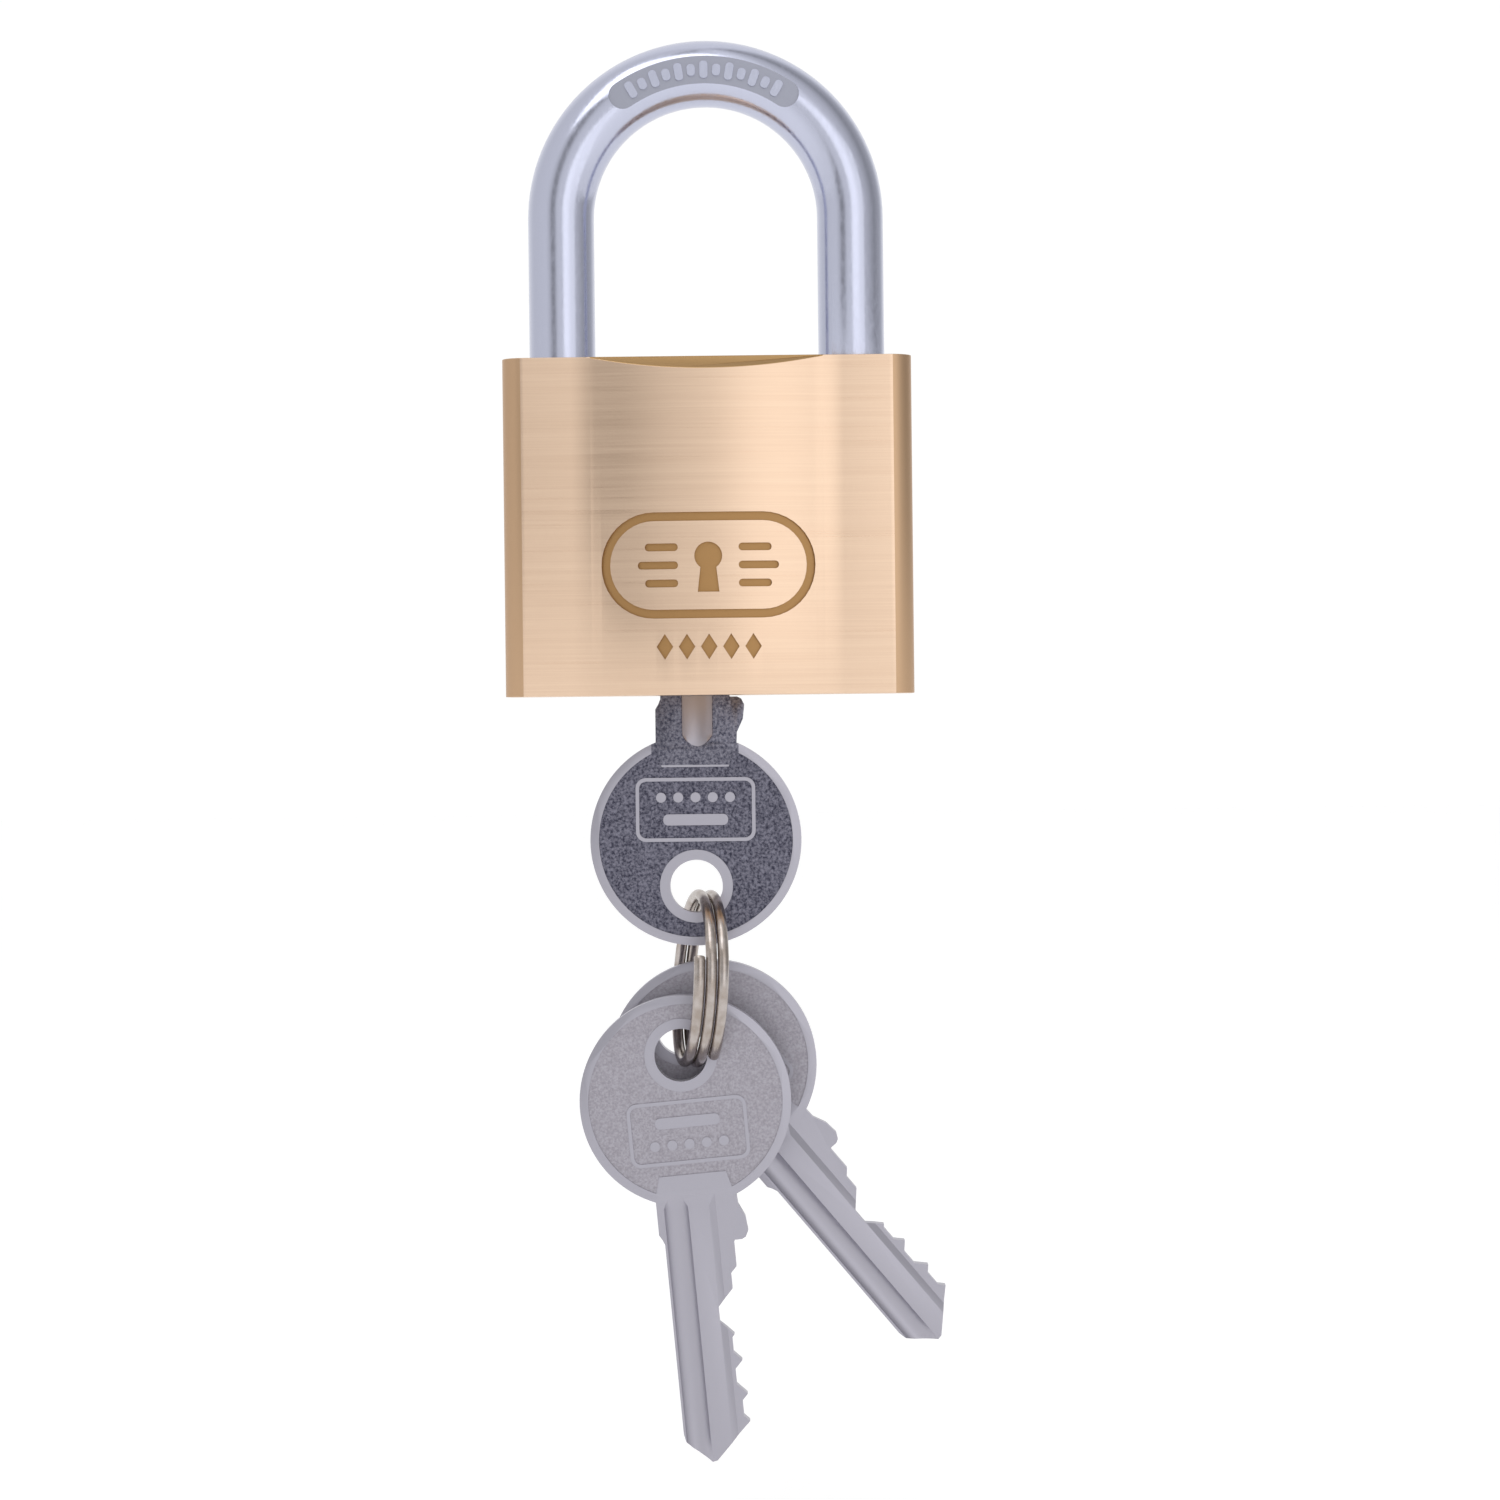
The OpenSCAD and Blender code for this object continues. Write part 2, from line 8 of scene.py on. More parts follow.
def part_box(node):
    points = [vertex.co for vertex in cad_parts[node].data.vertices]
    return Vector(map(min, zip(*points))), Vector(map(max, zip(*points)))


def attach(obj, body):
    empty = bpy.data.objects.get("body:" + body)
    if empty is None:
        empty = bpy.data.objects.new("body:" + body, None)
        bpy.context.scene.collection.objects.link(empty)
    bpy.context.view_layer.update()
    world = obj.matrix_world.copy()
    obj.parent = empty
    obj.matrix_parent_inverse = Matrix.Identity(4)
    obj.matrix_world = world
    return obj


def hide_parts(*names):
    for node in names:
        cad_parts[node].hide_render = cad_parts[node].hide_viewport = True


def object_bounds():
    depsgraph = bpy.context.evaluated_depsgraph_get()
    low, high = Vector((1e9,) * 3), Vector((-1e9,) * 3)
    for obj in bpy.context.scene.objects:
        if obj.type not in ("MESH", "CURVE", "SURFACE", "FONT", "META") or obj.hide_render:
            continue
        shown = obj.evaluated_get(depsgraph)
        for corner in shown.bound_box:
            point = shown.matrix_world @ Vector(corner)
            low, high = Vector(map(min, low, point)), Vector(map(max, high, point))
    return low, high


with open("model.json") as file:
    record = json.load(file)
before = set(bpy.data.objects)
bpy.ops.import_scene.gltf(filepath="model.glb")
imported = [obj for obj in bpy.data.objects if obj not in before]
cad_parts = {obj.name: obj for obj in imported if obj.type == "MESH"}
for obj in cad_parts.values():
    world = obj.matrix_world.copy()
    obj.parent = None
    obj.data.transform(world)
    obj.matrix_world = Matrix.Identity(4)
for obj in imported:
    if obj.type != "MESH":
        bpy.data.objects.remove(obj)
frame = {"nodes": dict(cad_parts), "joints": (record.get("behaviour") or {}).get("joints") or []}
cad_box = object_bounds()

# ---- Case -------------------------------------------------------------------
# The case is one block of solid brass, extruded to a wing-and-bulge outline, cut to
# length, bevelled on its top edges and brushed level on a belt.
# The marks on its front are pressed in and left with a darker floor.
MM = 0.001
case_low, case_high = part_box("body")
BASE, TOP = case_low.z, case_high.z
CASE_HALF = case_high.x
CROWN = -case_low.y
WING = 5.7 * MM
BULGE_HALF = 13.3 * MM
CORNER = 2.2 * MM
SLOPE = 2 * math.atan((CROWN - WING) / BULGE_HALF)
CROWN_R = 0.7725 * BULGE_HALF / math.sin(SLOPE)
FOOT_R = BULGE_HALF / math.sin(SLOPE) - CROWN_R
BEVEL_SLOPE = math.radians(37)
ENGRAVED = 0.25 * MM


def deselect():
    bpy.ops.object.select_all(action="DESELECT")


def pick(piece):
    """Leaves one piece selected and active."""
    deselect()
    piece.select_set(True)
    bpy.context.view_layer.objects.active = piece


def smooth(piece, degrees):
    """Shades a piece smooth, except across edges sharper than the angle."""
    pick(piece)
    bpy.ops.object.shade_smooth_by_angle(angle=math.radians(degrees))


def arc(centre, radius, start, end, steps):
    """Points along a round stretch of an outline, both ends included; angles in degrees."""
    turns = [math.radians(start + (end - start) * i / steps) for i in range(steps + 1)]
    return [(centre[0] + radius * math.cos(t), centre[1] + radius * math.sin(t)) for t in turns]


def solid(name, outline, along, start, end, material=None):
    """A closed outline drawn across an axis and extruded along it from start to end."""
    spread = {"X": (1, 2, 0), "Y": (0, 2, 1), "Z": (0, 1, 2)}[along]
    deselect()
    bpy.ops.mesh.primitive_circle_add(vertices=len(outline), radius=1, fill_type="NGON")
    piece = bpy.context.object
    piece.name = name
    for vertex, point in zip(piece.data.vertices, outline):
        for value, axis in zip((*point, start), spread):
            vertex.co[axis] = value
    lift = Vector((0, 0, 0))
    lift[spread[2]] = end - start
    bpy.ops.object.mode_set(mode="EDIT")
    bpy.ops.mesh.select_all(action="SELECT")
    bpy.ops.mesh.extrude_region_move(TRANSFORM_OT_translate={"value": lift})
    bpy.ops.mesh.select_all(action="SELECT")
    bpy.ops.mesh.normals_make_consistent(inside=False)
    bpy.ops.object.mode_set(mode="OBJECT")
    if material:
        piece.data.materials.append(material)
    return piece


def merged(name, *pieces):
    """Several loose tools made one object, so that they cut in one stroke."""
    deselect()
    for piece in pieces:
        piece.select_set(True)
    bpy.context.view_layer.objects.active = pieces[0]
    bpy.ops.object.join()
    pieces[0].name = name
    return pieces[0]


def apply(piece, kind, **settings):
    """Adds one modifier and applies it."""
    modifier = piece.modifiers.new(kind.lower(), kind)
    for key, value in settings.items():
        setattr(modifier, key, value)
    pick(piece)
    bpy.ops.object.modifier_apply(modifier=modifier.name)


def work(piece, tool, operation="DIFFERENCE"):
    """Cuts a piece with a tool, or joins the tool to it, and puts the tool away."""
    apply(piece, "BOOLEAN", object=tool, operation=operation, solver="EXACT", material_mode="TRANSFER")
    bpy.data.objects.remove(tool)


def linear(code):
    """An sRGB hex colour as the linear colour that a shader takes."""
    parts = [int(code[i : i + 2], 16) / 255 for i in (1, 3, 5)]
    return (*[c / 12.92 if c <= 0.04045 else ((c + 0.055) / 1.055) ** 2.4 for c in parts], 1)


def node(tree, kind, settings={}, links={}):
    """Adds one node; a link is another node's socket, or a plain value for the input."""
    made = tree.nodes.new(kind)
    for key, value in settings.items():
        setattr(made, key, value)
    for key, value in links.items():
        if isinstance(value, bpy.types.NodeSocket):
            tree.links.new(value, made.inputs[key])
        else:
            made.inputs[key].default_value = value
    return made


def metal(name, colour, roughness):
    """A bare metal with its tree, its shader and its coordinates in metres."""
    material = bpy.data.materials.new(name)
    material.use_nodes = True
    tree = material.node_tree
    shader = tree.nodes["Principled BSDF"]
    shader.inputs["Base Color"].default_value = linear(colour)
    shader.inputs["Metallic"].default_value = 1
    shader.inputs["Roughness"].default_value = roughness
    place = node(tree, "ShaderNodeTexCoord").outputs["Object"]
    return material, tree, shader, place


# Belt-brushed CuZn39 brass: pale yellow, with straight level scratches a centimetre or more
# long, which stretch every reflection upwards and leave it soft. The fine grain is drawn about
# 0.13 mm wide so that it shows, over broader bands of about 0.7 mm.
brushed_brass, tree, shader, place = metal("brushed_brass", "#D6B698", 0.3)
grain_place = node(tree, "ShaderNodeMapping", {}, {"Vector": place, "Scale": (60, 60, 7500)})
grain = node(tree, "ShaderNodeTexNoise", {},
             {"Vector": grain_place.outputs[0], "Scale": 1, "Detail": 4, "Roughness": 0.65})
scratch_place = node(tree, "ShaderNodeMapping", {}, {"Vector": place, "Scale": (35, 35, 1400)})
scratches = node(tree, "ShaderNodeTexNoise", {},
                 {"Vector": scratch_place.outputs[0], "Scale": 1, "Detail": 2, "Roughness": 0.5})
both = node(tree, "ShaderNodeMath", {"operation": "MULTIPLY_ADD"},
            {0: scratches.outputs["Fac"], 1: 0.5, 2: grain.outputs["Fac"]})
tone = node(tree, "ShaderNodeMapRange", {}, {"Value": both.outputs[0], "From Min": 0.5, "From Max": 1.0})
shade = node(tree, "ShaderNodeMix", {"data_type": "RGBA"},
             {"Factor": tone.outputs[0], 6: linear("#D8BBA2"), 7: linear("#E2C7AE")})
tree.links.new(shade.outputs[2], shader.inputs["Base Color"])
polish = node(tree, "ShaderNodeMapRange", {},
              {"Value": both.outputs[0], "From Min": 0.5, "From Max": 1.0, "To Min": 0.27, "To Max": 0.34})
tree.links.new(polish.outputs[0], shader.inputs["Roughness"])
ridges = node(tree, "ShaderNodeBump", {}, {"Height": both.outputs[0], "Strength": 0.1, "Distance": 0.02 * MM})
tree.links.new(ridges.outputs[0], shader.inputs["Normal"])

# The floor of the pressed marks: unbrushed and slightly tarnished brass, duller and browner.
pressed_brass, tree, shader, place = metal("pressed_brass", "#A98458", 0.5)
specks = node(tree, "ShaderNodeTexNoise", {}, {"Vector": place, "Scale": 4000, "Detail": 3})
bumps = node(tree, "ShaderNodeBump", {},
             {"Height": specks.outputs["Fac"], "Strength": 0.3, "Distance": 0.02 * MM})
tree.links.new(bumps.outputs[0], shader.inputs["Normal"])

# The four rounded upright corners, which turn away from the light: a painted shade, darker and duller brass.
corner_shade_brass = metal("corner_shade_brass", "#BF9F80", 0.4)[0]

# Milled and drilled brass, as in the bevels and the bores: fine tool lines, and a darker tone, which on the
# upward bevels is partly painted shade.
milled_and_shaded_brass, tree, shader, place = metal("milled_and_shaded_brass", "#B08E62", 0.4)
line_place = node(tree, "ShaderNodeMapping", {}, {"Vector": place, "Scale": (60, 2600, 2600)})
tool_lines = node(tree, "ShaderNodeTexNoise", {}, {"Vector": line_place.outputs[0], "Scale": 1, "Detail": 2})
bumps = node(tree, "ShaderNodeBump", {},
             {"Height": tool_lines.outputs["Fac"], "Strength": 0.3, "Distance": 0.02 * MM})
tree.links.new(bumps.outputs[0], shader.inputs["Normal"])


def case_outline(inset):
    """The case seen from above, moved inwards by inset, as one closed outline."""
    slope = math.degrees(SLOPE)
    corner = arc((CASE_HALF - CORNER, WING - CORNER), CORNER - inset, 0, 90, 10)
    foot = arc((BULGE_HALF, WING + FOOT_R), FOOT_R + inset, -90, -90 - slope, 18)
    crown = arc((0, CROWN - CROWN_R), CROWN_R - inset, 90 - slope, 90, 30)
    quarter = corner + foot + crown[1:-1]
    half = quarter + [(-x, y) for x, y in reversed(quarter)]
    return half + [(x, -y) for x, y in reversed(half)]


def rounded(width, height, radius, centre=(0, 0), steps=6):
    """A rounded rectangle as an outline."""
    across, up = width / 2 - radius, height / 2 - radius
    return sum((arc((centre[0] + sx * across, centre[1] + sz * up), radius, turn, turn + 90, steps)
                for sx, sz, turn in ((1, 1, 0), (-1, 1, 90), (-1, -1, 180), (1, -1, 270))), [])


case = solid("case", case_outline(0), "Z", BASE, TOP, brushed_brass)
case.data.materials.append(milled_and_shaded_brass)
case.data.materials.append(corner_shade_brass)
for side in (-1, 1):
    pick(case)
    bpy.ops.object.mode_set(mode="EDIT")
    bpy.ops.mesh.select_all(action="SELECT")
    bpy.ops.mesh.bisect(plane_co=(0, side * WING, TOP), use_fill=True, clear_outer=True,
                        plane_no=(0, side * math.sin(BEVEL_SLOPE), math.cos(BEVEL_SLOPE)))
    bpy.ops.object.mode_set(mode="OBJECT")
# Upward bevels take the milled brass; rounded corner faces, picked by how far they turn sideways, take the
# painted shade.
for face in case.data.polygons:
    if 0.5 < face.normal.z < 0.95:
        face.material_index = 1
    elif 0.22 < abs(face.normal.x) < 0.99 and abs(face.center.x) > CASE_HALF - CORNER:
        face.material_index = 2
apply(case, "BEVEL", width=0.4 * MM, segments=3, limit_method="ANGLE", angle_limit=math.radians(30))

# The marks: a frame with round ends round a keyhole and six bars, over a row of lozenges.
# They are cut deep, and a core just under the skin gives them a floor of even depth.
EMBLEM = BASE + 12.6 * MM
LOZENGES = BASE + 4.7 * MM
CUT_FROM, CUT_TO = -CROWN - 1 * MM, -CROWN + 3 * MM
# the frame's two outlines: width, height and corner radius
FRAME_OUTSIDE = (20.8 * MM, 10.3 * MM, 5.1 * MM)
FRAME_INSIDE = (19.1 * MM, 8.6 * MM, 4.25 * MM)
KEYHOLE_R, KEYHOLE_FOOT = 1.35 * MM, 1.05 * MM
BAR_ROW, BAR_HEIGHT = 1.75, 0.75 * MM
LOZENGE_PITCH, LOZENGE_HALF_WIDE, LOZENGE_HALF_HIGH = 2.15, 0.8 * MM, 1.25 * MM


def mark(name, outline):
    """A cutter through the front skin, from in front of the crown."""
    return solid(name, outline, "Y", CUT_FROM, CUT_TO, pressed_brass)


frame_cutter = mark("frame_cutter", rounded(*FRAME_OUTSIDE, (0, EMBLEM), 10))
work(frame_cutter, solid("frame_inside", rounded(*FRAME_INSIDE, (0, EMBLEM), 10), "Y",
                         CUT_FROM - MM, CUT_TO + MM, pressed_brass))
keyhole = mark("keyhole", arc((0, EMBLEM + 0.9 * MM), KEYHOLE_R, -55, 235, 27)
               + [(-KEYHOLE_FOOT, EMBLEM - 2.6 * MM), (KEYHOLE_FOOT, EMBLEM - 2.6 * MM)])
bars = [mark("bar", rounded((3.9 - 0.7 * abs(row)) * MM, BAR_HEIGHT, 0.35 * MM,
                            (side * (4.9 - 0.35 * abs(row)) * MM, EMBLEM + BAR_ROW * row * MM), 4))
        for side in (-1, 1) for row in (-1, 0, 1)]
lozenges = []
for i in range(-2, 3):
    across = LOZENGE_PITCH * i * MM
    left, right = across - LOZENGE_HALF_WIDE, across + LOZENGE_HALF_WIDE
    foot, peak = LOZENGES - LOZENGE_HALF_HIGH, LOZENGES + LOZENGE_HALF_HIGH
    lozenges.append(mark("lozenge", [(left, LOZENGES), (across, foot), (right, LOZENGES), (across, peak)]))
work(case, merged("marks", frame_cutter, keyhole, *bars, *lozenges))
work(case, solid("core", case_outline(ENGRAVED), "Z", BASE + 1 * MM, TOP - 3 * MM, pressed_brass), "UNION")

# The bores: two for the shackle's legs, one for the cylinder, a row of five for the pins, the
# bolt's channel from the right-hand side, and two cross holes from the back.
LEG_X = CASE_HALF - 5.75 * MM
LEG_BORE = 3.35 * MM


def round_solid(name, radius, along, start, end, centre=(0, 0), material=None, steps=48):
    return solid(name, arc(centre, radius, 0, 360 - 360 / steps, steps - 1), along, start, end, material)


work(case, round_solid("toe_bore", LEG_BORE, "Z", TOP - 9 * MM, TOP + MM, (LEG_X, 0), milled_and_shaded_brass))
work(case, round_solid("heel_bore", LEG_BORE, "Z", BASE + 3 * MM, TOP + MM, (-LEG_X, 0), milled_and_shaded_brass))
# turned by 1.9 degrees, so that no point of it meets a corner of another bore
cylinder_ring = arc((0, 0), 6.05 * MM, 1.9, 356.275, 63)
work(case, solid("cylinder_bore", cylinder_ring, "Z", BASE - MM, BASE + 28.3 * MM, milled_and_shaded_brass))
channel_low, channel_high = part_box("bolt_channel_plug")
channel = rounded(6.1 * MM, 5.4 * MM, 0.05 * MM, (0, (channel_low.z + channel_high.z) / 2), 1)
work(case, solid("channel", channel, "X", -10 * MM, CASE_HALF + MM, milled_and_shaded_brass))
for i in range(1, 6):
    low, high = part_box(f"chamber_plug_{i}")
    work(case, round_solid("chamber", 1.5 * MM, "X", 0, CASE_HALF + MM, (0, (low.z + high.z) / 2),
                           milled_and_shaded_brass, 32))
for cross_pin, radius in (("heel_retaining_pin", 0.92 * MM), ("plug_retaining_pin", 0.82 * MM)):
    low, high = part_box(cross_pin)
    work(case, round_solid("cross_hole", radius, "Y", low.y - 0.5 * MM, CROWN + MM,
                           ((low.x + high.x) / 2, (low.z + high.z) / 2), milled_and_shaded_brass, 32))
smooth(case, 28)
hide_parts("body")
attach(case, "case")

# ---- Brass plugs, cylinder and pins -----------------------------------------
# Turned brass parts that show flush in the case: the cylinder's face underneath, and the
# plugs that close the pin chambers and the bolt's channel on the right. The steel pieces and
# the springs inside the case get their finish here too.
turned_brass, tree, shader, place = metal("turned_brass", "#D6B184", 0.32)
ring_place = node(tree, "ShaderNodeMapping", {}, {"Vector": place, "Scale": (900, 900, 900)})
rings = node(tree, "ShaderNodeTexNoise", {}, {"Vector": ring_place.outputs[0], "Scale": 1, "Detail": 2})
bumps = node(tree, "ShaderNodeBump", {},
             {"Height": rings.outputs["Fac"], "Strength": 0.15, "Distance": 0.02 * MM})
tree.links.new(bumps.outputs[0], shader.inputs["Normal"])

# Ground carbon steel: grey, fairly smooth.
ground_steel = metal("ground_steel", "#A7A9AE", 0.3)[0]
# Drawn spring wire: brighter and smoother.
spring_wire = metal("spring_wire", "#B9BBC0", 0.22)[0]


def finish_node(name, material):
    """Gives a CAD node its finish in place of the record's plain colour."""
    piece = frame["nodes"][name]
    piece.data.materials.clear()
    piece.data.materials.append(material)


for name in ("plug", "bolt_channel_plug"):
    finish_node(name, turned_brass)
for name in ("toe_bolt", "locking_cam", "heel_retaining_pin", "plug_retaining_pin"):
    finish_node(name, ground_steel)
for name in ("shackle_spring", "bolt_spring"):
    finish_node(name, spring_wire)
for i in range(1, 6):
    finish_node(f"chamber_plug_{i}", turned_brass)
    finish_node(f"key_pin_{i}", turned_brass)
    finish_node(f"driver_pin_{i}", ground_steel)
    finish_node(f"pin_spring_{i}", spring_wire)

# ---- Shackle ----------------------------------------------------------------
# A 6.5 mm steel rod bent to a half circle, stamped on the crown, notched at the toe and
# grooved at the heel, then hardened and zinc plated.
ROD = 3.25 * MM
shackle_low, shackle_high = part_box("shackle")
ARC_Z = shackle_high.z - LEG_X - ROD
TOE_Z, HEEL_Z = TOP - 8.5 * MM, shackle_low.z

# Bright zinc plate with a blue passivation: cool and glossy, faintly grainy over drawn rod.
zinc_plate, tree, shader, place = metal("zinc_plate", "#BEC1D3", 0.16)
draw_place = node(tree, "ShaderNodeMapping", {}, {"Vector": place, "Scale": (2500, 2500, 900)})
draw_grain = node(tree, "ShaderNodeTexNoise", {},
                  {"Vector": draw_place.outputs[0], "Scale": 1, "Detail": 4, "Roughness": 0.7})
polish = node(tree, "ShaderNodeMapRange", {},
              {"Value": draw_grain.outputs["Fac"], "From Min": 0.3, "From Max": 0.7,
               "To Min": 0.1, "To Max": 0.26})
tree.links.new(polish.outputs[0], shader.inputs["Roughness"])
bumps = node(tree, "ShaderNodeBump", {},
             {"Height": draw_grain.outputs["Fac"], "Strength": 0.25, "Distance": 0.015 * MM})
tree.links.new(bumps.outputs[0], shader.inputs["Normal"])
# The stamped floor is matt and greyer.
stamped_zinc = metal("stamped_zinc", "#9EA0AD", 0.42)[0]

shackle = round_solid("rod", ROD, "Z", TOE_Z, ARC_Z, (LEG_X, 0), zinc_plate, 64)
shackle.name = "bent_shackle"


def select_top(piece, x_sign):
    """Selects the end face that stands at the arc's height on one side."""
    bpy.ops.object.mode_set(mode="OBJECT")
    for face in piece.data.polygons:
        level_end = abs(face.normal.z) > 0.99 and abs(face.center.z - ARC_Z) < 0.01 * MM
        face.select = level_end and face.center.x * x_sign > 0
    bpy.ops.object.mode_set(mode="EDIT")


bpy.ops.object.mode_set(mode="EDIT")
bpy.ops.mesh.select_mode(type="FACE")
bpy.ops.mesh.select_all(action="DESELECT")
select_top(shackle, 1)
bpy.ops.mesh.spin(steps=63, angle=math.pi, center=(0, 0, ARC_Z), axis=(0, 1, 0))
select_top(shackle, -1)
bpy.ops.mesh.extrude_region_move(TRANSFORM_OT_translate={"value": (0, 0, HEEL_Z - ARC_Z)})
bpy.ops.mesh.select_all(action="SELECT")
bpy.ops.mesh.normals_make_consistent(inside=False)
bpy.ops.object.mode_set(mode="OBJECT")
apply(shackle, "BEVEL", width=0.6 * MM, segments=3, limit_method="ANGLE", angle_limit=math.radians(60))

# toe notch with its ramp, which drives the bolt back 3.75 mm over the 9 mm lift
NOTCH_X, NOTCH_MOUTH = 12.2 * MM, 9 * MM
BAR_LOW, BAR_HIGH = TOP - 4.7 * MM, TOP - 1.9 * MM
RAMP = 3.75 / 9
ramp_foot = BAR_LOW - (NOTCH_X - NOTCH_MOUTH) / RAMP
notch = [(NOTCH_MOUTH, BAR_HIGH), (NOTCH_X, BAR_HIGH), (NOTCH_X, BAR_LOW), (NOTCH_MOUTH, ramp_foot)]
work(shackle, solid("notch", notch, "Y", -5 * MM, 5 * MM, zinc_plate))

# the heel's groove, turned by 2.1 degrees so that its points stay clear of the rod's
GROOVE_LOW, GROOVE_HIGH = BASE + 11.8 * MM, BASE + 23.2 * MM
groove_outside = arc((-LEG_X, 0), ROD + MM, 2.1, 354.6, 47)
groove_floor = arc((-LEG_X, 0), 2.3 * MM, 2.1, 354.6, 47)
groove = solid("groove", groove_outside, "Z", GROOVE_LOW, GROOVE_HIGH, zinc_plate)
work(groove, solid("groove_core", groove_floor, "Z", GROOVE_LOW - MM, GROOVE_HIGH + MM, zinc_plate))
work(shackle, groove)

# a stamped hollow with round ends follows the crown, front and back, with plain raised bars in it
HOLLOW, HOLLOW_SPAN = 1.35 * MM, 34


def on_arc(radius, angle):
    return (radius * math.sin(math.radians(angle)), ARC_Z + radius * math.cos(math.radians(angle)))


for side in (-1, 1):
    outer = arc((0, ARC_Z), LEG_X + HOLLOW, 90 - HOLLOW_SPAN, 90 + HOLLOW_SPAN, 41)
    left_end = arc(on_arc(LEG_X, -HOLLOW_SPAN), HOLLOW, 90 + HOLLOW_SPAN, 270 + HOLLOW_SPAN, 12)[1:-1]
    inner = arc((0, ARC_Z), LEG_X - HOLLOW, 90 + HOLLOW_SPAN, 90 - HOLLOW_SPAN, 41)
    right_end = arc(on_arc(LEG_X, HOLLOW_SPAN), HOLLOW, -90 - HOLLOW_SPAN, 90 - HOLLOW_SPAN, 12)[1:-1]
    work(shackle, solid("hollow", outer + left_end + inner + right_end, "Y",
                        side * (ROD - 0.3 * MM), side * (ROD + MM), stamped_zinc))
    raised = []
    for i in range(-6, 7):
        bar_outline = rounded(0.8 * MM, (1.7 - 0.55 * (i % 2)) * MM, 0.35 * MM, (0, ARC_Z + LEG_X), 4)
        bar = solid("raised_bar", bar_outline, "Y", side * (ROD - MM), side * (ROD - 0.12 * MM), zinc_plate)
        bar.data.transform(Matrix.Translation((0, 0, ARC_Z)) @ Matrix.Rotation(math.radians(5 * i), 4, "Y")
                           @ Matrix.Translation((0, 0, -ARC_Z)))
        raised.append(bar)
    work(shackle, merged("raised_bars", *raised), "UNION")
smooth(shackle, 30)
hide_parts("shackle")
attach(shackle, "shackle")

# ---- Keys -------------------------------------------------------------------
# A key is blanked from 2.1 mm nickel silver, coined with a rim, a collar round its hole and a
# framed panel, fluted by three cutters, then cut to five depths. One blank makes all three.
KEY_THICK = 2.1 * MM
BOW = 10.4 * MM
HOLE_T = -4.55 * MM
SHOULDER_T = 14.1 * MM
FIELD = 0.15 * MM
PLUG_MM = 22.5
PLUG_LEN = PLUG_MM * MM
UNCUT_MM = 3.4
BACK_EDGE, CUT_EDGE = -3.37 * MM, UNCUT_MM * MM
TIP_T = SHOULDER_T + 0.15 * MM + PLUG_LEN - 1.15 * MM
# the cuts in millimetres: heights left, pitch, place of the first, and slope of their flanks
CUTS = [2.8, 1.25, 2.3, 2.3, 2.7]
PITCH = 0.14 * PLUG_MM
FIRST = 0.171 * PLUG_MM + 14.25
FLANK = 0.95

# Tumbled nickel silver: soft satin, slightly violet grey.
satin_nickel, tree, shader, place = metal("satin_nickel", "#A19EA8", 0.44)
fine = node(tree, "ShaderNodeTexNoise", {}, {"Vector": place, "Scale": 5000, "Detail": 3, "Roughness": 0.6})
tint = node(tree, "ShaderNodeMapRange", {},
            {"Value": fine.outputs["Fac"], "From Min": 0.35, "From Max": 0.65})
shade = node(tree, "ShaderNodeMix", {"data_type": "RGBA"},
             {"Factor": tint.outputs[0], 6: linear("#959199"), 7: linear("#AAA7B0")})
tree.links.new(shade.outputs[2], shader.inputs["Base Color"])
bumps = node(tree, "ShaderNodeBump", {},
             {"Height": fine.outputs["Fac"], "Strength": 0.3, "Distance": 0.02 * MM})
tree.links.new(bumps.outputs[0], shader.inputs["Normal"])
# The rim and the raised lines are rubbed brighter.
rubbed_nickel = metal("rubbed_nickel", "#A9A7B1", 0.4)[0]
# The field of the key in use is blasted and darkened: coarse speckle of about 0.3 mm.
blasted_nickel, tree, shader, place = metal("blasted_nickel", "#565664", 0.5)
grit = node(tree, "ShaderNodeTexNoise", {}, {"Vector": place, "Scale": 3600, "Detail": 4, "Roughness": 0.75})
tint = node(tree, "ShaderNodeMapRange", {},
            {"Value": grit.outputs["Fac"], "From Min": 0.38, "From Max": 0.62})
shade = node(tree, "ShaderNodeMix", {"data_type": "RGBA"},
             {"Factor": tint.outputs[0], 6: linear("#3A3A48"), 7: linear("#7F7E8C")})
tree.links.new(shade.outputs[2], shader.inputs["Base Color"])
bumps = node(tree, "ShaderNodeBump", {},
             {"Height": grit.outputs["Fac"], "Strength": 0.6, "Distance": 0.05 * MM})
tree.links.new(bumps.outputs[0], shader.inputs["Normal"])

# On that key the blasting runs on over the flat of the neck, while its rim and the flutes,
# which lie below the flat, stay bright.
lock_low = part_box("lock_key")[0]
PANEL_TOP, RIM_TOP = lock_low.z + BOW + 7.4 * MM, lock_low.z + BOW + 9.5 * MM
NECK_HALF = 4.3 * MM
worked_nickel, tree, shader, place = metal("worked_nickel", "#A9A7B1", 0.4)
spot = node(tree, "ShaderNodeSeparateXYZ", {}, {0: place})
above_panel = node(tree, "ShaderNodeMath", {"operation": "GREATER_THAN"},
                   {0: spot.outputs["Z"], 1: PANEL_TOP})
above_rim = node(tree, "ShaderNodeMath", {"operation": "GREATER_THAN"}, {0: spot.outputs["Z"], 1: RIM_TOP})
middle = node(tree, "ShaderNodeMath", {"operation": "COMPARE"},
              {0: spot.outputs["X"], 1: lock_low.x + BOW, 2: NECK_HALF})
inside = node(tree, "ShaderNodeMath", {"operation": "MAXIMUM"},
              {0: above_rim.outputs[0], 1: middle.outputs[0]})
depth = node(tree, "ShaderNodeMath", {"operation": "ABSOLUTE"}, {0: spot.outputs["Y"]})
